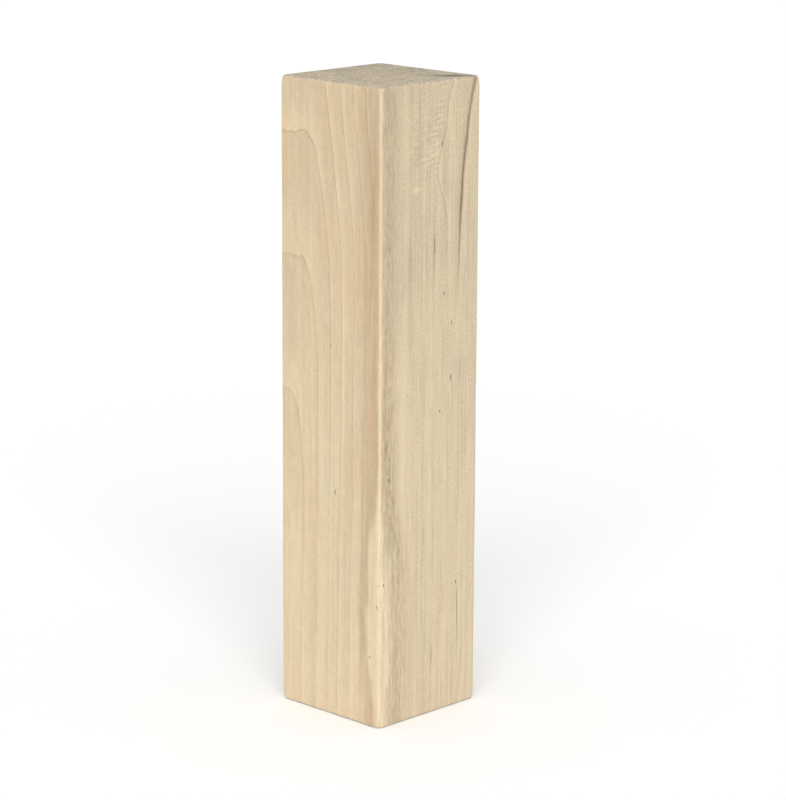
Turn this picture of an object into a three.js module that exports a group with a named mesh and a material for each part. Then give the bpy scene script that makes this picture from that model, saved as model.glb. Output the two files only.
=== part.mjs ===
// A solid hardwood block: one length of timber of square section, sawn to length and sanded.
// The grain runs the long way, along +Z. The block stands on its lower sawn end, and the origin is
// the middle of that end. Lengths are in millimetres.
import * as THREE from "three";

// Driving dimensions of the timber.
const BLOCK_SIDE = 65;
const BLOCK_LENGTH = 300;

// What the sander took off. The four long arrises carry a small round, the edges round each sawn end
// carry a smaller one, and where an arris meets an end the two strokes crossed and took off more.
const ARRIS_RADIUS = 1.5;
const END_RADIUS = 1.2;
const CORNER_EXTRA_RADIUS = 1.8;
const CORNER_REACH = 6;

// How finely the rounds are cut into facets.
const ARRIS_STEPS = 8;
const END_STEPS = 6;
const CORNER_STEPS = 5;

const PALE_HARDWOOD = new THREE.MeshStandardMaterial({
  name: "pale_hardwood",
  color: 0xd9c4a1,
  roughness: 0.62,
  metalness: 0,
});

// The four long arrises, anticlockwise seen from above, each with the angle at which its round starts.
const ARRISES = [
  { x: 1, y: 1, start: 0 },
  { x: -1, y: 1, start: Math.PI / 2 },
  { x: -1, y: -1, start: Math.PI },
  { x: 1, y: -1, start: (3 * Math.PI) / 2 },
];

// How far the round at an end pulls the faces in, at a height above (or a depth below) that end.
function endInset(fromEnd) {
  const rise = Math.max(END_RADIUS - fromEnd, 0);
  return END_RADIUS - Math.sqrt(END_RADIUS ** 2 - rise ** 2);
}

// The arris round before it is pulled in: it opens out over the last few millimetres of the block.
function arrisRadius(fromEnd) {
  const nearness = Math.max(1 - fromEnd / CORNER_REACH, 0);
  return ARRIS_RADIUS + CORNER_EXTRA_RADIUS * nearness ** 2;
}

// The corner rounds of the cross-section at a height: their radius, and how far the centre of each is
// from the middle of the block along x and along y.
function cornerRounds(z) {
  const fromEnd = Math.min(z, BLOCK_LENGTH - z);
  const inset = endInset(fromEnd);
  const radius = arrisRadius(fromEnd) - inset;
  return { radius, toCentre: BLOCK_SIDE / 2 - inset - radius };
}

// The centres of the four corner rounds at a height.
function roundCentres(z) {
  const { toCentre } = cornerRounds(z);
  return ARRISES.map(({ x, y }) => new THREE.Vector3(x * toCentre, y * toCentre, z));
}

// One cross-section: a square with four quarter-round corners, as points anticlockwise from above.
function sectionPoints(z) {
  const { radius, toCentre } = cornerRounds(z);
  return ARRISES.flatMap(({ x, y, start }) =>
    Array.from({ length: ARRIS_STEPS + 1 }, (_, step) => {
      const angle = start + (step / ARRIS_STEPS) * (Math.PI / 2);
      return new THREE.Vector3(
        x * toCentre + radius * Math.cos(angle),
        y * toCentre + radius * Math.sin(angle),
        z,
      );
    }),
  );
}

// Heights of the sections near one end: equal turns of the end round, then the corner's longer sweep.
function distancesFromEnd() {
  const round = Array.from({ length: END_STEPS + 1 }, (_, step) => {
    const turn = (step / END_STEPS) * (Math.PI / 2);
    return END_RADIUS * (1 - Math.cos(turn));
  });
  const sweep = Array.from({ length: CORNER_STEPS }, (_, step) => {
    const share = (step + 1) / CORNER_STEPS;
    return END_RADIUS + share * (CORNER_REACH - END_RADIUS);
  });
  return [...round, ...sweep];
}

// A flat sawn end, facing up: a fan at each corner round about its own centre, a strip along each side
// between two rounds, and a square between the four centres. It is given the number of the first
// point on its edge and of the first centre.
function endFacets(firstPoint, firstCentre) {
  const centre = (corner) => firstCentre + (corner % ARRISES.length);
  const point = (corner, step) => firstPoint + (corner % ARRISES.length) * (ARRIS_STEPS + 1) + step;
  const facets = [
    [centre(0), centre(1), centre(2)],
    [centre(0), centre(2), centre(3)],
  ];
  for (let corner = 0; corner < ARRISES.length; corner++) {
    for (let step = 0; step < ARRIS_STEPS; step++) {
      facets.push([centre(corner), point(corner, step), point(corner, step + 1)]);
    }
    facets.push([centre(corner), point(corner, ARRIS_STEPS), point(corner + 1, 0)]);
    facets.push([centre(corner), point(corner + 1, 0), centre(corner + 1)]);
  }
  return facets;
}

// The closed skin of the block: a band of facets between neighbouring sections, and a flat sawn end
// at the foot, turned to face down, and at the head.
function blockGeometry() {
  const nearEnd = distancesFromEnd();
  const heights = [...nearEnd, ...nearEnd.map((distance) => BLOCK_LENGTH - distance).reverse()];
  const sections = heights.map(sectionPoints);
  const perSection = ARRISES.length * (ARRIS_STEPS + 1);
  const vertices = [...sections.flat(), ...roundCentres(0), ...roundCentres(BLOCK_LENGTH)];
  const headStart = (sections.length - 1) * perSection;
  const footCentres = sections.length * perSection;
  const headCentres = footCentres + ARRISES.length;

  const facets = [];
  for (let i = 0; i < perSection; i++) {
    const next = (i + 1) % perSection;
    for (let band = 0; band < sections.length - 1; band++) {
      const below = band * perSection;
      const above = below + perSection;
      facets.push([below + i, below + next, above + next]);
      facets.push([below + i, above + next, above + i]);
    }
  }
  facets.push(...endFacets(0, footCentres).map((facet) => facet.reverse()));
  facets.push(...endFacets(headStart, headCentres));

  const geometry = new THREE.BufferGeometry().setFromPoints(vertices);
  geometry.setIndex(facets.flat());
  geometry.computeVertexNormals();
  return geometry;
}

function makeBlock() {
  const block = new THREE.Mesh(blockGeometry(), PALE_HARDWOOD);
  block.name = "timber_block";
  return block;
}

const group = new THREE.Group();
group.add(makeBlock());

export default group;
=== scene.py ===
"""The looks of a solid hardwood block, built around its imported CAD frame. Lengths of the block are
worked out in millimetres and put into the meshes in metres."""
import math

import bpy
import numpy as np
from mathutils import Matrix, Vector


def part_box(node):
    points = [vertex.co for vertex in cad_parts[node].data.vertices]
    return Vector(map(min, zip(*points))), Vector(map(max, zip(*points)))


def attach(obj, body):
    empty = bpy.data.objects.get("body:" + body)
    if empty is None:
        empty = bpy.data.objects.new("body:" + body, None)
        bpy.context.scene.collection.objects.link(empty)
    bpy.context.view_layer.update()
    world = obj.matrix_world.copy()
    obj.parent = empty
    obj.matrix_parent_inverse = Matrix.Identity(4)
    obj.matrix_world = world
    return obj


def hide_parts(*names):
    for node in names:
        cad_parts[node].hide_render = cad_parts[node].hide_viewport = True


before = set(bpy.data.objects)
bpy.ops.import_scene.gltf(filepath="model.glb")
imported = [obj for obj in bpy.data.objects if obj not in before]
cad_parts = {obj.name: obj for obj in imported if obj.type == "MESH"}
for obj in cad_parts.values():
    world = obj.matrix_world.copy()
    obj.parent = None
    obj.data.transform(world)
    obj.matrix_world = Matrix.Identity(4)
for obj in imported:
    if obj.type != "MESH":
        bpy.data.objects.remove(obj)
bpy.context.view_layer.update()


# ---------------------------------------------------------------- camera
# A long lens from about a metre and a half, a little above the block and facing one of its long
# arrises, so that two faces and the upper end show. It is tipped by a fraction of a degree.
CAMERA_AZIMUTH = math.radians(44.36)
CAMERA_ELEVATION = math.radians(13.33)
CAMERA_ROLL = math.radians(0.284)
CAMERA_LENS_MM = 137.3
CAMERA_DISTANCE = 1.4663
CAMERA_AIM = Vector((-0.0185, 0.0281, 0.1392))


def make_camera():
    """The camera turned by azimuth about Z, then tilted down by elevation, then rolled about its own
    view axis, and set back from the aim point along that axis."""
    data = bpy.data.cameras.new("camera")
    data.lens = CAMERA_LENS_MM
    data.sensor_width = 36
    data.clip_end = 100
    camera = bpy.data.objects.new("camera", data)
    turn = Matrix.Rotation(CAMERA_AZIMUTH, 4, "Z")
    tilt = Matrix.Rotation(math.pi / 2 - CAMERA_ELEVATION, 4, "X")
    roll = Matrix.Rotation(CAMERA_ROLL, 4, "Z")
    look = turn @ tilt @ roll
    camera.matrix_world = Matrix.Translation(CAMERA_AIM + look.col[2].to_3d() * CAMERA_DISTANCE) @ look
    bpy.context.collection.objects.link(camera)
    bpy.context.scene.camera = camera


make_camera()


# ---------------------------------------------------------------- timber block: shape
# One length of pale hardwood, sawn square and cut off square at both ends. It was sanded by hand,
# which rounded the four long arrises and the edges round the ends, and the wood was left bare.
MM = 0.001
block_low, block_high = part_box("timber_block")
SIDE = (block_high.x - block_low.x) / MM
LENGTH = (block_high.z - block_low.z) / MM
HALF = SIDE / 2

ARRIS_RADIUS = 1.5
END_RADIUS = 1.2
CORNER_EXTRA_RADIUS = 1.8
CORNER_REACH = 6.0
WAVE_HEIGHT = 0.09  # how far the round of an arris swells and shrinks along its length
LONG_WAVE, SHORT_WAVE = 17.0, 7.3

FACE_STEPS = 54  # cells across a long face
ARC_STEPS = 8  # cells round an arris
RISE_STEPS = 270  # cells up the straight part of the block
ROUND_STEPS = 6  # cells over the round at an end
END_STEPS = 24  # cells from the edge of a sawn end to its middle

# Small bruises where the sander or a knock tore the near arris: height of each, which way round the
# arris it lies (-1 towards the -Y face, 1 towards the +X face), its length and its depth. All are as
# wide as BRUISE_WIDTH, as a part of the way from the middle of the round to its edge.
BRUISE_WIDTH = 0.55
BRUISES = (
    (70.5, 0.4, 1.6, 0.45),
    (69.0, 1.1, 1.3, 0.40),
    (69.5, -1.2, 1.2, 0.30),
    (58.5, -1.3, 1.8, 0.30),
    (76.5, 0.0, 1.0, 0.25),
    (226.0, 0.1, 0.9, 0.28),
)


def section_directions():
    """Going once round a section: where each point sits on the unit square (the corners hold still
    while an arris turns), and which way the surface faces there."""
    corner = np.array([(1, -1), (1, 1), (-1, 1), (-1, -1)], float)
    seats, facings = [], []
    for index in range(4):
        start = math.radians(-90 + 90 * index)
        angle = start + np.linspace(0, math.pi / 2, ARC_STEPS + 1)
        seats.append(np.repeat(corner[index][None], ARC_STEPS + 1, axis=0))
        facings.append(np.stack([np.cos(angle), np.sin(angle)], axis=1))
        share = np.arange(1, FACE_STEPS)[:, None] / FACE_STEPS
        seats.append(corner[index] * (1 - share) + corner[(index + 1) % 4] * share)
        facings.append(np.repeat(facings[-1][-1][None], FACE_STEPS - 1, axis=0))
    return np.concatenate(seats), np.concatenate(facings)


def profile_up_the_block():
    """From the middle of the lower end to the middle of the upper one: height, how far the outline is
    drawn in, its share of full size, and how steeply the surface has turned from side to end."""
    turn = np.linspace(math.pi / 2, 0, ROUND_STEPS + 1)
    round_height = END_RADIUS * (1 - np.sin(turn))
    round_inset = END_RADIUS * (1 - np.cos(turn))
    end_share = np.linspace(0, 1, END_STEPS + 1)[1:-1]
    straight = np.linspace(END_RADIUS, LENGTH - END_RADIUS, RISE_STEPS + 1)[1:-1]
    low_end = (0 * end_share, END_RADIUS + 0 * end_share, end_share, 0 * end_share - math.pi / 2)
    low_round = (round_height, round_inset, 1 + 0 * turn, -turn)
    side = (straight, 0 * straight, 1 + 0 * straight, 0 * straight)
    low_half = np.concatenate([low_end, low_round], axis=1)
    high_half = low_half[:, ::-1] * np.array([-1, 1, 1, -1])[:, None]
    high_half[0] += LENGTH
    return np.concatenate([low_half, side, high_half], axis=1)


def arris_radii(height, seats):
    """The round at each point of the grid: the plain arris round, more where an end is near, and a
    slow wave up each arris, because the sander was held by hand."""
    from_end = np.minimum(height, LENGTH - height)[:, None]
    near = np.clip(1 - from_end / CORNER_REACH, 0, 1) ** 2
    phase = 2.1 * seats[:, 0] + 3.7 * seats[:, 1]
    slow = np.sin(height[:, None] / LONG_WAVE + phase)
    quick = np.sin(height[:, None] / SHORT_WAVE + 2 * phase)
    wave = (slow + 0.6 * quick) * WAVE_HEIGHT
    return ARRIS_RADIUS + CORNER_EXTRA_RADIUS * near + wave * (1 - near)


def bruise_depth(height, seats, facings):
    """How deep the small bruises go: each is a smooth dimple on the near arris, longer along the
    grain than across it."""
    on_arris = (seats[:, 0] > 0.999) & (seats[:, 1] < -0.999)
    around = np.degrees(np.arctan2(facings[:, 1], facings[:, 0])) / 45 + 1
    depth = np.zeros((len(height), len(seats)))
    for middle, side, length, deep in BRUISES:
        along = (height[:, None] - middle) / length
        across = (around[None] - side) / BRUISE_WIDTH
        depth += deep * np.exp(-(along**2) * 2 - across**2) * on_arris
    return depth


def block_grid():
    """The skin as a grid, rows up the block and columns round it: the unit square seat drawn in to
    half a side less the arris round, plus the round times the facing; then moved inward along the
    surface's own facing by the depth of the bruises."""
    seats, facings = section_directions()
    height, inset, share, pitch = profile_up_the_block()
    inset, share = inset[:, None], share[:, None]
    radius = (arris_radii(height, seats) - inset) * share
    half = (HALF - inset) * share
    dent = bruise_depth(height, seats, facings)
    level, upright = np.cos(pitch)[:, None], np.sin(pitch)[:, None]
    x, y = (
        seat * half + (facing - seat) * radius - facing * level * dent
        for seat, facing in zip(seats.T, facings.T)
    )
    return np.stack([x, y, height[:, None] - upright * dent], axis=2)


def grid_faces(rows, columns):
    """Four-sided cells between neighbouring rows, wrapped round the columns, and a fan of triangles to
    a pole below the first row and to another above the last."""
    row, column = np.meshgrid(np.arange(rows - 1), np.arange(columns), indexing="ij")
    here = row * columns + column
    beside = row * columns + (column + 1) % columns
    cells = np.stack([here, beside, beside + columns, here + columns], axis=-1)
    ring = np.arange(columns)
    after = (ring + 1) % columns
    foot, head = rows * columns, rows * columns + 1
    last = (rows - 1) * columns
    foot_fan = np.stack([np.full(columns, foot), after, ring], axis=-1)
    head_fan = np.stack([np.full(columns, head), last + ring, last + after], axis=-1)
    return cells.reshape(-1, 4).tolist() + foot_fan.tolist() + head_fan.tolist()


def make_block():
    """The block's mesh object, smooth all over, with its place in its vertices."""
    grid = block_grid()
    poles = np.array([(0, 0, 0), (0, 0, LENGTH)], float)
    vertices = np.concatenate([grid.reshape(-1, 3), poles]) * MM
    mesh = bpy.data.meshes.new("hardwood_block")
    mesh.from_pydata(vertices.tolist(), [], grid_faces(*grid.shape[:2]))
    mesh.polygons.foreach_set("use_smooth", np.ones(len(mesh.polygons), bool))
    mesh.update()
    block = bpy.data.objects.new("hardwood_block", mesh)
    bpy.context.collection.objects.link(block)
    return block


# ---------------------------------------------------------------- timber block: wood
# Bare, finely sanded hardwood. The colour is worked out through the solid, so rings, streaks and
# fibres run on from one face to the next and into the end grain, as they do in a real piece.


class Shade:
    """A number or colour that varies over the surface: one node output. Arithmetic on it adds Math
    nodes, so a line of sums reads as the formula that the wood follows."""

    def __init__(self, socket):
        self.socket = socket

    def node(self, kind, settings=None, values=None, output=0):
        """Adds a node of this kind beside this one: first its settings, then the number, colour or
        Shade for each of its sockets, named or numbered. Gives back the numbered output."""
        tree = self.socket.id_data
        made = tree.nodes.new("ShaderNode" + kind)
        for name, setting in (settings or {}).items():
            setattr(made, name, setting)
        for key, value in (values or {}).items():
            if isinstance(value, Shade):
                tree.links.new(value.socket, made.inputs[key])
            else:
                made.inputs[key].default_value = value
        return Shade(made.outputs[output])

    def math(self, operation, *others):
        """A Math node of this operation on this number and the others, in order."""
        return self.node("Math", {"operation": operation}, dict(enumerate((self, *others))))

    def __add__(self, other):
        return self.math("ADD", other)

    def __sub__(self, other):
        return self.math("SUBTRACT", other)

    def __mul__(self, other):
        return self.math("MULTIPLY", other)

    def __truediv__(self, other):
        return self.math("DIVIDE", other)

    def __rsub__(self, other):
        return self.math("MULTIPLY_ADD", -1.0, other)

    def __abs__(self):
        return self.math("ABSOLUTE")

    __radd__ = __add__
    __rmul__ = __mul__

    def vector(self, operation, other, output=0):
        """A Vector Math node of this operation on this vector and the other."""
        return self.node("VectorMath", {"operation": operation}, {0: self, 1: other}, output)

    def scaled(self, factor):
        """This vector or colour times a number or Shade."""
        return self.node("VectorMath", {"operation": "SCALE"}, {0: self, "Scale": factor})

    def split(self):
        """The x, y and z of this vector."""
        parts = self.node("SeparateXYZ", None, {0: self})
        return [Shade(output) for output in parts.socket.node.outputs]

    def step(self, low, high):
        """Smoothly from 0 at low to 1 at high."""
        settings = {"interpolation_type": "SMOOTHSTEP"}
        return self.node("MapRange", settings, {0: self, 1: low, 2: high})

    def hump(self, middle, width):
        """A smooth hump, 1 at the middle and about a third of that one width away."""
        away = (self - middle) / width
        return (away * away * -1.0).math("EXPONENT")

    def noise(self, detail, roughness):
        """Noise at this vector: about nought, and mostly between -1 and 1."""
        values = {"Vector": self, "Scale": 1.0, "Detail": detail, "Roughness": roughness}
        return self.node("TexNoise", None, values) * 4 - 2


def joined(x, y, z):
    """The vector of these three, the first of which is a Shade."""
    return x.node("CombineXYZ", None, {0: x, 1: y, 2: z})


def mixed(factor, under, over):
    """The colour over laid on the colour under, as strongly as factor says."""
    return factor.node("Mix", {"data_type": "RGBA"}, {"Factor": factor, 6: under, 7: over}, output=2)


def colour(red, green, blue):
    """A colour given in display values from 0 to 255, as the shader's linear red, green, blue, 1."""
    parts = []
    for value in (red / 255, green / 255, blue / 255):
        parts.append(value / 12.92 if value <= 0.04045 else ((value + 0.055) / 1.055) ** 2.4)
    return (*parts, 1.0)


class Spot:
    """Where a point of the wood is, in millimetres: its place as a vector, x, y, height z and depth
    below the head; its distances across the -Y and the +X face, from the near arris; and how far round
    that arris it is, less than nought on the -Y side."""

    def __init__(self, start):
        self.place = start.scaled(1 / MM)
        self.x, self.y, self.z = self.place.split()
        self.depth = LENGTH - self.z
        self.left = HALF - self.x
        self.right = self.y + HALF
        self.turn = self.x + self.y

    def fibres(self, across, along, detail=2.0, roughness=0.5, seed=0.0):
        """Noise drawn out along the grain, in cells about across wide and along long."""
        drawn = self.place.vector("MULTIPLY", (1 / across, 1 / across, 1 / along))
        return drawn.vector("ADD", (seed, 1.7 * seed, 2.3 * seed)).noise(detail, roughness)


# Tones of the wood.
HONEY = colour(210, 190, 158)
ORANGE_HONEY = colour(211, 187, 152)
YELLOW_HONEY = colour(211, 195, 162)
SAP_GREY = colour(205, 188, 158)
RING_LINE = colour(148, 115, 78)
BROWN_STAIN = colour(172, 144, 112)
GREY_STAIN = colour(140, 113, 79)
CREAM = colour(215, 197, 164)
DARK_STREAK = colour(96, 70, 48)
VESSEL = colour(90, 74, 54)
END_GRAIN = colour(178, 167, 148)
END_GRAIN_WARM = colour(183, 168, 143)
END_GRAIN_DARK = colour(88, 80, 66)

# The growth rings, in millimetres. The pith leans: at the foot of the block it is outside the corner
# between the -X and -Y faces, and at the head it is inside, near the middle of the -X face.
PITH_AT_FOOT = (-34.6, -39.0)
PITH_LEAN = (0.022, 0.137)
RING_POWER = 3.4
RING_SPACING = 7.7
FIRST_RING = 6.9
WIDE_RING, WIDE_RING_REACH, WIDE_RING_EXTRA = 27.0, 6.0, 1.5
SLOW_RIPPLE, FINE_RIPPLE, OUTER_RIPPLE = 0.35, 0.06, 0.7
FLARE, FLARE_DEPTH = 9.0, 85.0  # how far the outer rings lean in at the head, and how deep that goes
OUTER_SHIFT = 1.6  # how much further out the rings lie once they are past the arches
LINE_BREADTH = 0.16  # breadth of a ring's dark line, as a part of the ring spacing
LEAST_BREADTH = 0.16  # the least part of that breadth that a line keeps, at the top of an arch
EARLY_TONE, RING_TONE = 0.13, 0.03  # how much paler early wood is, and how much darker it all is

# How much fainter the rings are on the +X face, how much more so near its head, and towards the foot.
FADED_SIDE, FADED_SIDE_HEAD, FADED_FOOT = 0.6, 0.3, 0.55


def growth_rings(at):
    """The tone that the growth rings add, and how strongly their dark lines show. The rings are
    squarish, so the distance from the pith is a root of summed powers, higher than squares, of the
    distances along x and y. Each ring is palest just outside its edge and darkens slowly to the next
    edge, where it has a thin dark line."""
    from_x = abs(at.x - (PITH_AT_FOOT[0] + PITH_LEAN[0] * at.z))
    from_y = abs(at.y - (PITH_AT_FOOT[1] + PITH_LEAN[1] * at.z))
    powers = from_x.math("POWER", RING_POWER) + from_y.math("POWER", RING_POWER)
    plain = powers.math("POWER", 1 / RING_POWER)
    outer = at.x.step(8, 28)
    ripple = at.fibres(13, 55, seed=3.1) * SLOW_RIPPLE + at.fibres(4, 16, seed=4.7) * FINE_RIPPLE
    ripple = ripple + at.fibres(6, 26, seed=45.0) * outer * OUTER_RIPPLE
    flare = at.depth.step(FLARE_DEPTH, 0) * at.x.step(-20, 34) * FLARE - at.x.step(-28, -5) * OUTER_SHIFT
    reach = plain + ripple + flare
    widened = reach.hump(WIDE_RING, WIDE_RING_REACH) * WIDE_RING_EXTRA
    ring = (reach - widened - FIRST_RING) / RING_SPACING
    number = ring.math("ROUND")
    past_edge = ring - number
    strength = joined(number * 5.3, at.depth / 48, at.y / 40).noise(1.0, 0.5).step(-1.0, 0.9)
    strength = 0.4 + strength * 0.6
    crossing = (from_x / plain).math("POWER", 2.0).math("MAXIMUM", LEAST_BREADTH)
    edge = past_edge / crossing
    toward_foot = at.depth.step(110, 230)
    spread = edge / (1 + toward_foot)
    line = spread.step(-LINE_BREADTH, -0.03) * spread.step(0.03, 0.0)
    early = past_edge.step(0.5, 0.0) * edge.step(-0.01, 0.04)
    on_side = 1 - at.x.step(26, 32) * (FADED_SIDE + FADED_SIDE_HEAD * at.depth.step(110, 70))
    strength = strength * on_side * (1 - toward_foot * FADED_FOOT)
    return early * strength * EARLY_TONE - RING_TONE, line * strength


# How strongly each kind of fibre shows, and how much more it shows on the coarse side.
BROAD_TONE = 0.035
NARROW_TONE, NARROW_COARSE = 0.035, 0.045
SINGLE_TONE, SINGLE_COARSE = 0.025, 0.02
FLECK_TONE, FLECK_COARSE = 0.065, 0.055
PATCH_TONE, PATCH_COARSE = 0.04, -0.005
HAIR_TONE, HAIR_COARSE = 0.05, 0.09


def fibre_tone(at, coarse):
    """The tone that the fibres add: broad bands, narrow streaks, single fibres, flecks, patches and
    thin dark hairs. With it come the narrow streaks, single fibres and flecks on their own."""
    broad = at.fibres(6.5, 150, seed=1.3)
    narrow = at.fibres(1.6, 130, seed=5.9)
    single = at.fibres(0.9, 14, detail=3, roughness=0.6, seed=9.4)
    fleck = at.fibres(0.8, 1.6, detail=2, roughness=0.6, seed=4.4)
    patch = at.fibres(4, 12, detail=2, seed=33.0)
    hair = abs(at.fibres(2.5, 120, detail=1, seed=12.6)).step(0.2, 0.0)
    hair_strength = at.fibres(5, 30, detail=1, seed=2.8).step(-0.9, 0.9)
    tone = broad * BROAD_TONE
    tone = tone + narrow * (NARROW_TONE + coarse * NARROW_COARSE)
    tone = tone + single * (SINGLE_TONE + coarse * SINGLE_COARSE)
    tone = tone + fleck * (FLECK_TONE + coarse * FLECK_COARSE)
    tone = tone + patch * (PATCH_TONE + coarse * PATCH_COARSE)
    tone = tone - hair * hair_strength * (HAIR_TONE + coarse * HAIR_COARSE)
    return tone, narrow, single, fleck


# The figure high on the +X face, in millimetres: how far across from the near arris and how deep
# below the head each part of it lies, and how far it reaches each way.
CURL_ACROSS, CURL_DEPTH, CURL_WIDTH, CURL_LENGTH = 29.0, 30.0, 13.0, 22.0
LADDER_ACROSS, LADDER_LEAN, LADDER_WIDTH = 38.5, 0.09, 4.2
LADDER_DEPTH, LADDER_LENGTH = 24.0, 19.0
RUNGS = 2.5  # radians of the ladder's wave for each millimetre down it
BAND_ACROSS, BAND_WIDTH = 14.5, 2.2
KNOT_ACROSS, KNOT_DEPTH, KNOT_WIDTH, KNOT_LENGTH = 23.0, 48.3, 2.8, 1.2
KINK_ACROSS, KINK_DEPTH, KINK_LENGTH = 43.3, 41.0, 14.0
KINK_OUT, KINK_IN = 3.4, 6.3
KINK_WIDTH, KINK_RIM_ACROSS, KINK_RIM_WIDTH = 0.55, 1.3, 0.9

# How strongly each part of the figure shows.
SLANT_TONE, CURL_TONE, LADDER_TONE, BAND_TONE, KNOT_TONE = 0.035, 0.12, 0.13, 0.05, 0.22
KINK_TONE, KINK_RIM_TONE = 0.14, 0.09


def figure_tone(at, coarse):
    """The tone of the figure: soft slanting patches on the -Y side, and a curly patch high on the +X
    side with a ladder of short bars across the grain."""
    slanting = joined(at.x * 0.34 + at.z * 0.10, at.y * 0.25, at.z * 0.16 - at.x * 0.08)
    patches = slanting.noise(2.0, 0.55) * (1 - coarse) * SLANT_TONE
    curl = at.place.vector("MULTIPLY", (0.3, 0.22, 0.6)).noise(3.0, 0.65)
    curl_place = at.right.hump(CURL_ACROSS, CURL_WIDTH) * at.depth.hump(CURL_DEPTH, CURL_LENGTH)
    ladder = (at.depth * RUNGS + at.right * 0.3 + curl * 3.0).math("SINE") * curl.step(-1.0, 0.6)
    ladder_middle = LADDER_ACROSS - at.depth * LADDER_LEAN
    ladder_place = at.right.hump(ladder_middle, LADDER_WIDTH) * at.depth.hump(LADDER_DEPTH, LADDER_LENGTH)
    pale_band = at.right.hump(BAND_ACROSS, BAND_WIDTH)
    pale_knot = at.right.hump(KNOT_ACROSS, KNOT_WIDTH) * at.depth.hump(KNOT_DEPTH, KNOT_LENGTH)
    kinked = at.depth.hump(0, 7) * KINK_OUT - at.depth.hump(KINK_DEPTH, KINK_LENGTH) * KINK_IN + KINK_ACROSS
    off_kinked = at.right - kinked + at.fibres(3, 9, seed=27.0) * 0.35
    kink_line = off_kinked.hump(0.0, KINK_WIDTH) * KINK_TONE
    kink_rim = off_kinked.hump(KINK_RIM_ACROSS, KINK_RIM_WIDTH) * KINK_RIM_TONE
    curly = curl_place * curl * CURL_TONE + ladder_place * ladder * LADDER_TONE
    pale = pale_band * BAND_TONE + pale_knot * KNOT_TONE
    return patches + (curly + pale + (kink_rim - kink_line) * at.depth.step(95, 50)) * coarse


# The stain round the near arris: how far from the arris it lies, on each side of it, in the upper
# part, and how much further in the lower part, where clean cream wood lies inside it.
BROWN_MIDDLE, BROWN_WIDTH, BROWN_SHIFT = 5.0, 6.0, 4.6
GREY_MIDDLE, GREY_WIDTH, GREY_SHIFT = 4.8, 5.2, 6.6
CREAM_TOP, CREAM_FULL = 183.0, 221.0  # depths where the cream wood starts and is at full width
CREAM_WIDTH, CREAM_NARROWER = 6.8, 1.4  # on the -Y side, and how much narrower it is on the other
SWELLING_DEPTH, SWELLING_LENGTH, SWELLING = 262.0, 34.0, 1.8  # where it swells, and by how much
PINCH_TOP, PINCH_FULL, PINCH = 258.0, 296.0, 0.7  # where it narrows on the -Y side, and what is lost

# How strongly each stain shows: the brown at the head, what it gains below, and what its streaks add;
# the grey between its specks, the specks, and what they gain round the grey's peak; and the cream.
BROWN_LEAST, BROWN_GAIN, BROWN_STREAKS = 0.24, 0.30, 0.17
GREY_LEAST, GREY_SPECKS, GREY_PEAK = 0.08, 0.50, 0.16
GREY_PEAK_DEPTH, GREY_PEAK_LENGTH = 172.0, 38.0
CREAM_STRENGTH = 0.75


def stain(at, base, narrow, single, fleck):
    """The base colour with the brown stain of the -Y side, the speckled grey one of the +X side and
    the cream wood between them."""
    inward = at.left.math("MAXIMUM", at.right)
    on_left = at.turn.step(0.5, -0.9)
    pinch = at.depth.step(PINCH_TOP, PINCH_FULL) * on_left * PINCH
    lower = at.depth.step(CREAM_TOP, CREAM_FULL) - pinch
    swelling = at.depth.hump(SWELLING_DEPTH, SWELLING_LENGTH) * SWELLING
    wander = at.fibres(5, 36, seed=6.6) * 1.5 + at.fibres(2.6, 11, seed=8.8) * 0.7
    place = inward + wander
    brown = place.hump(BROWN_MIDDLE + lower * BROWN_SHIFT, BROWN_WIDTH - lower * 3.0)
    streaks = at.fibres(2.4, 46, seed=36.0)
    brown_strength = BROWN_LEAST + BROWN_GAIN * at.depth.step(-15, 60) + streaks * BROWN_STREAKS
    brown = brown * on_left * brown_strength
    stained = mixed(brown.math("MAXIMUM", 0.0), base, BROWN_STAIN)
    dashes = at.fibres(0.85, 5.5, detail=2, roughness=0.65, seed=31.0)
    speckle = (dashes * 0.9 + fleck * 0.6 + single * 0.4 + narrow * 0.3).step(-0.6, 1.0)
    grey = place.hump(GREY_MIDDLE + lower * GREY_SHIFT + swelling, GREY_WIDTH + lower * 0.8)
    peak = at.depth.hump(GREY_PEAK_DEPTH, GREY_PEAK_LENGTH)
    grey = grey * (1 - on_left) * (GREY_LEAST + (GREY_SPECKS + GREY_PEAK * peak) * speckle)
    stained = mixed(grey, stained, GREY_STAIN)
    cream_edge = CREAM_WIDTH - at.turn.step(-3, 3) * CREAM_NARROWER + swelling
    ragged = wander * 0.8 + dashes * (1 - on_left) * 1.2
    inside = (cream_edge * lower - inward - ragged).step(-0.9, 1.3)
    stained = mixed(inside * CREAM_STRENGTH, stained, CREAM)
    threads = at.fibres(1.7, 22, detail=1, seed=42.0) * inward.step(14, 8) * (1 - on_left)
    return stained.scaled(1 + threads * (0.05 + lower * 0.11))


# The dark mineral streak: a thin sheet through the block near the head, which comes out on the +X
# face. In millimetres: how far across that face it settles, how much further it is at the head, the
# depth over which that dies away, and how much nearer it is for each millimetre inward.
STREAK_ACROSS, STREAK_SPREAD, STREAK_DEPTH, STREAK_SLANT = 50.2, 11.6, 38.0, 0.87
STREAK_WIDTH, STREAK_WIDER = 0.8, 0.2  # half its width, and how much more at the head
STREAK_GONE, STREAK_FADES = 110.0, 60.0  # depths where it has gone, and where it starts to fade
STREAK_STRENGTH, HALO_STRENGTH = 0.66, 0.14
HEAD_STAIN_X, HEAD_STAIN_LENGTH, HEAD_STAIN_WIDTH = 25.0, 7.0, 3.9


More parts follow.
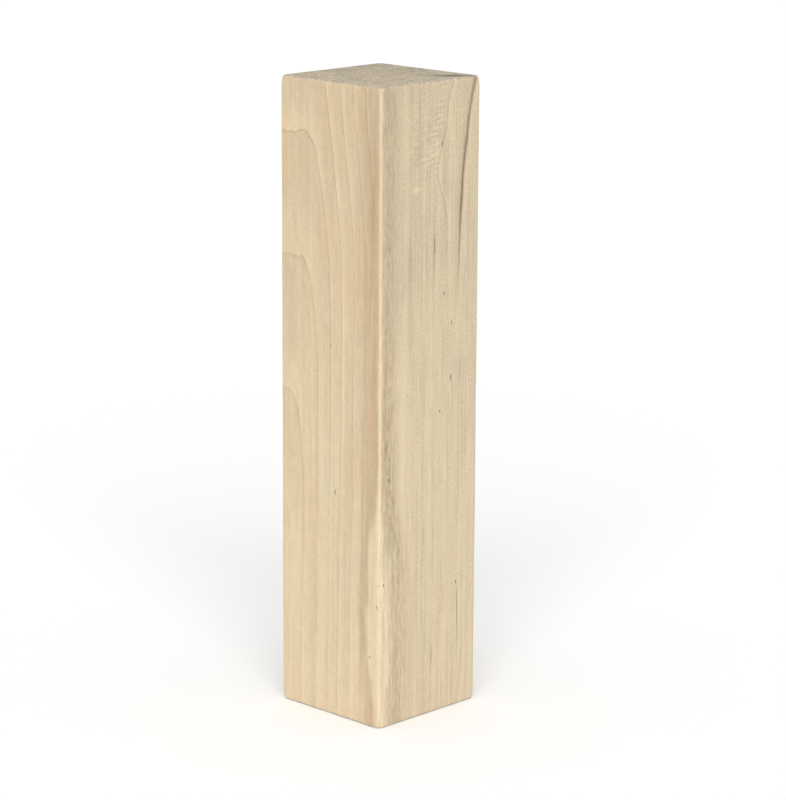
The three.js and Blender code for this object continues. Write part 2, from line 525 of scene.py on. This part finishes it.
def mineral_streak(at):
    """How strongly the streak shows on a side of the block, how strongly on the sawn head, and where
    the pale rim beside it is."""
    path = (at.depth / -STREAK_DEPTH).math("EXPONENT") * STREAK_SPREAD + STREAK_ACROSS
    off = at.right - path - (at.x - HALF) * STREAK_SLANT + at.fibres(4, 16, seed=2.2) * 0.35
    near_face = at.x.step(26, 31)
    fading = at.depth.step(STREAK_GONE, STREAK_FADES) * (0.8 + 0.2 * at.depth.hump(52, 26))
    dark = off.hump(0.0, STREAK_WIDTH + STREAK_WIDER * at.depth.step(50, 0)) * fading
    halo = off.hump(-1.2, 2.0) * fading
    rim = off.hump(2.2, 1.0) * fading
    on_head = off.hump(-0.6, HEAD_STAIN_WIDTH) * at.x.hump(HEAD_STAIN_X, HEAD_STAIN_LENGTH)
    on_head = on_head * at.depth.step(60, 20)
    on_side = (dark * STREAK_STRENGTH + halo * HALO_STRENGTH) * near_face
    return on_side, on_head, rim * near_face


# Marks of open vessels and small nicks: the face, the distance from the near arris, the depth below
# the head, and the length and width of each.
LEFT, RIGHT = "left", "right"
MARKS = (
    (RIGHT, 41.7, 98.5, 2.2, 0.34),
    (RIGHT, 47.0, 113.0, 2.6, 0.26),
    (RIGHT, 46.7, 139.0, 3.2, 0.42),
    (RIGHT, 39.5, 154.0, 1.8, 0.32),
    (RIGHT, 6.0, 181.0, 2.4, 0.36),
    (RIGHT, 35.2, 75.0, 9.0, 0.2),
    (RIGHT, 39.6, 29.0, 2.4, 0.36),
    (RIGHT, 51.4, 239.0, 2.4, 0.36),
    (RIGHT, 52.2, 252.0, 22.0, 0.18),
    (RIGHT, 35.0, 272.0, 9.0, 0.2),
    (LEFT, 31.7, 122.0, 2.0, 0.24),
    (LEFT, 29.0, 191.0, 2.8, 0.32),
    (LEFT, 1.6, 241.0, 2.0, 0.32),
    (LEFT, 6.2, 266.0, 1.4, 0.3),
    (LEFT, 1.0, 230.6, 1.0, 0.35),
    (RIGHT, 1.0, 229.8, 1.2, 0.4),
    (RIGHT, 2.8, 230.6, 1.8, 0.32),
)
SCATTER_ACROSS, SCATTER_ALONG = 7.0, 34.0  # the room that each scattered mark has on the other faces


def vessel_marks(at):
    """The listed marks on the two near faces, each an ellipsoid round its own place, and scattered
    ones on the others."""
    shown = at.x * 0.0
    for face, across, depth, length, width in MARKS:
        x = HALF if face == RIGHT else HALF - across
        y = across - HALF if face == RIGHT else -HALF
        moved = at.place.vector("SUBTRACT", (x, y, LENGTH - depth))
        squeezed = moved.vector("MULTIPLY", (1 / width, 1 / width, 2 / length))
        away = squeezed.vector("LENGTH", (0, 0, 0), output=1)
        shown = shown.math("MAXIMUM", away.step(1.3, 0.5))
    cells = at.place.vector("MULTIPLY", (1 / SCATTER_ACROSS, 1 / SCATTER_ACROSS, 1 / SCATTER_ALONG))
    scattered = cells.node("TexVoronoi", None, {"Vector": cells, "Scale": 1.0}).step(0.06, 0.03)
    near_faces = at.x.step(29, 31).math("MAXIMUM", at.y.step(-29, -31))
    return shown.math("MAXIMUM", scattered * (1 - near_faces))


# The sawn ends: how many of each mark there are, and how strongly each shows.
SAW_ACROSS, SAW_ALONG = 0.75, 0.22  # saw marks to a millimetre, across and along them
PORES = 0.75  # pores to a millimetre
RAYS = 34.0  # rays to a radian
RAY_START_X = -HALF - 12  # where the rays would meet, off the -X face
SPECK_TONE, SPECK_GAIN, BLOTCH_TONE, RAY_TONE, PORE_TONE, PATCHY_TONE = 0.24, 0.16, 0.13, 0.09, 0.13, 0.10


def end_grain(at, ring_tone, streak):
    """The colour and height of a sawn end: greyer and rougher, with saw marks from corner to corner,
    pores, rays out from the heart side and the streak's stain."""
    saw_way = joined((at.x + at.y) * SAW_ACROSS, (at.x - at.y) * SAW_ALONG, at.z * 0.5)
    speck = saw_way.noise(2.0, 0.65)
    blotch = saw_way.scaled(0.36).noise(2.0, 0.6)
    pore_cells = at.place.vector("MULTIPLY", (PORES, PORES, 0.1))
    pore = pore_cells.node("TexVoronoi", None, {"Vector": pore_cells, "Scale": 1.0}).step(0.32, 0.12)
    from_x = at.x - RAY_START_X
    from_y = at.y - (PITH_AT_FOOT[1] + PITH_LEAN[1] * LENGTH)
    angle = from_y.math("ARCTAN2", from_x)
    rays = joined(angle * RAYS, from_x * 0.06, 0.0).noise(2.0, 0.6)
    patches = at.fibres(11, 60, seed=15.1)
    near_corner = (at.x - at.y).step(5, 60)
    speckle = speck * (SPECK_TONE + near_corner * SPECK_GAIN) + blotch * BLOTCH_TONE
    speckle = speckle + rays * RAY_TONE - pore * PORE_TONE + patches * PATCHY_TONE
    tone = 1.02 + speckle + ring_tone + (at.x - at.y) * 0.0014
    bare = mixed((patches + blotch * 0.5).step(-0.9, 1.1), END_GRAIN, END_GRAIN_WARM)
    return mixed(streak * 0.9, bare, END_GRAIN_DARK).scaled(tone), speck * 0.05 - pore * 0.06


# In millimetres: how far in from its two faces, added, an arris is pale, partly from sanding wear and
# partly as a painted highlight, and how far from an end the wood is end grain. Each is given where it
# is so all through, and where it is so no longer.
WORN_AND_HIGHLIGHT_ALL, WORN_AND_HIGHLIGHT_NONE = 0.9, 1.35
END_ALL, END_NONE = 0.2, 0.75
RING_LINE_STRENGTH, WORN_AND_HIGHLIGHT_STRENGTH, MARK_STRENGTH = 0.27, 0.6, 0.75


def wood_surface(at):
    """The colour of the wood, the height of its surface in millimetres, and 1 on a sawn end. The wood
    is coarse on the +X side."""
    coarse = at.turn.step(-1.5, 1.5) * at.x.step(24, 31)
    ring_tone, ring_line = growth_rings(at)
    fibre, narrow, single, fleck = fibre_tone(at, coarse)
    side_streak, head_streak, pale_rim = mineral_streak(at)
    marks = vessel_marks(at)

    warmth = at.fibres(11, 45, seed=18.3).step(-0.7, 0.8)
    base = mixed(warmth * 0.8, HONEY, ORANGE_HONEY)
    yellowing = at.fibres(9, 70, seed=47.0).step(-0.6, 0.8) * at.depth.step(90, 200)
    base = mixed(yellowing * 0.9, base, YELLOW_HONEY)
    base = mixed(coarse, base, SAP_GREY)
    base = mixed(ring_line * RING_LINE_STRENGTH, base, RING_LINE)
    stained = stain(at, base, narrow, single, fleck)
    stained = mixed(side_streak, stained, DARK_STREAK)

    arris = (HALF - abs(at.x)) + (HALF - abs(at.y))
    # The pale cream band round every arris, and the small lift in tone below, are partly sanding wear and
    # partly a painted highlight.
    worn_and_highlight = (arris + narrow * 0.15).step(WORN_AND_HIGHLIGHT_NONE, WORN_AND_HIGHLIGHT_ALL)
    stained = mixed(worn_and_highlight * WORN_AND_HIGHLIGHT_STRENGTH, stained, CREAM)
    slow_change = (at.depth - LENGTH / 2) * 0.0004 + coarse * at.depth.step(75, 20) * 0.03
    tone = 1 + ring_tone + fibre + figure_tone(at, coarse) + slow_change + pale_rim * 0.07
    side = mixed(marks * MARK_STRENGTH, stained.scaled(tone + worn_and_highlight * 0.02), VESSEL)

    from_end = LENGTH / 2 - abs(at.z - LENGTH / 2)
    end = (from_end + at.fibres(1.3, 1.3, seed=21.0) * 0.22).step(END_NONE, END_ALL)
    end_colour, end_height = end_grain(at, ring_tone - ring_line * 0.16, head_streak)
    side_height = single * 0.02 + narrow * 0.02 + fleck * 0.01 - side_streak * 0.12 - marks * 0.15
    height = side_height * (1 - end) + end_height * end
    return mixed(end, side, end_colour), height, end


def wood_material():
    """Bare hardwood: colour, roughness and a shallow relief, all from the solid pattern."""
    material = bpy.data.materials.new("bare_hardwood")
    material.use_nodes = True
    tree = material.node_tree
    surface = tree.nodes["Principled BSDF"]
    at = Spot(Shade(tree.nodes.new("ShaderNodeTexCoord").outputs["Object"]))
    wood, height, end = wood_surface(at)
    relief = height.node("Bump", None, {"Strength": 1.0, "Distance": MM, "Height": height})
    rough = 0.6 + end * 0.15 + at.fibres(2.0, 12, seed=24.0) * 0.03
    tree.links.new(wood.socket, surface.inputs["Base Color"])
    tree.links.new(rough.socket, surface.inputs["Roughness"])
    tree.links.new(relief.socket, surface.inputs["Normal"])
    surface.inputs["Specular IOR Level"].default_value = 0.3
    return material


block = make_block()
block.data.materials.append(wood_material())
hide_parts("timber_block")
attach(block, "root")


# ---------------------------------------------------------------- floor and light
# A plain white studio floor that runs out of sight, a broad soft light from the camera's side and a
# softer one from above.
FLOOR_SIZE = 24.0
FLOOR_WHITE = (0.93, 0.93, 0.93, 1.0)
KEY_AZIMUTH, KEY_ELEVATION = math.radians(45.5), math.radians(30)
KEY_STRENGTH, TOP_STRENGTH, SKY_STRENGTH = 2.1, 1.5, 0.28
KEY_SPREAD, TOP_SPREAD = math.radians(50), math.radians(120)


def make_floor():
    """A square sheet at the height that the block stands on."""
    reach = FLOOR_SIZE / 2
    mesh = bpy.data.meshes.new("studio_floor")
    corners = [(-reach, -reach, 0), (reach, -reach, 0), (reach, reach, 0), (-reach, reach, 0)]
    mesh.from_pydata(corners, [], [(0, 1, 2, 3)])
    floor = bpy.data.objects.new("studio_floor", mesh)
    bpy.context.collection.objects.link(floor)
    material = bpy.data.materials.new("floor_white")
    material.use_nodes = True
    surface = material.node_tree.nodes["Principled BSDF"]
    surface.inputs["Base Color"].default_value = FLOOR_WHITE
    surface.inputs["Roughness"].default_value = 0.9
    surface.inputs["Specular IOR Level"].default_value = 0.0
    mesh.materials.append(material)


def make_sun(name, azimuth, elevation, strength, spread):
    """A distant soft light, seen from the block at this azimuth and elevation."""
    data = bpy.data.lights.new(name, "SUN")
    data.energy = strength
    data.angle = spread
    sun = bpy.data.objects.new(name, data)
    turn = Matrix.Rotation(azimuth, 4, "Z") @ Matrix.Rotation(math.pi / 2 - elevation, 4, "X")
    sun.matrix_world = turn
    bpy.context.collection.objects.link(sun)


def make_sky(strength):
    """An even white surround."""
    world = bpy.data.worlds.new("surround")
    world.use_nodes = True
    background = world.node_tree.nodes["Background"]
    background.inputs["Color"].default_value = (1, 1, 1, 1)
    background.inputs["Strength"].default_value = strength
    bpy.context.scene.world = world


make_floor()
make_sun("key_light", KEY_AZIMUTH, KEY_ELEVATION, KEY_STRENGTH, KEY_SPREAD)
make_sun("top_light", 0.0, math.pi / 2, TOP_STRENGTH, TOP_SPREAD)
make_sky(SKY_STRENGTH)
bpy.context.scene.view_settings.view_transform = "Standard"
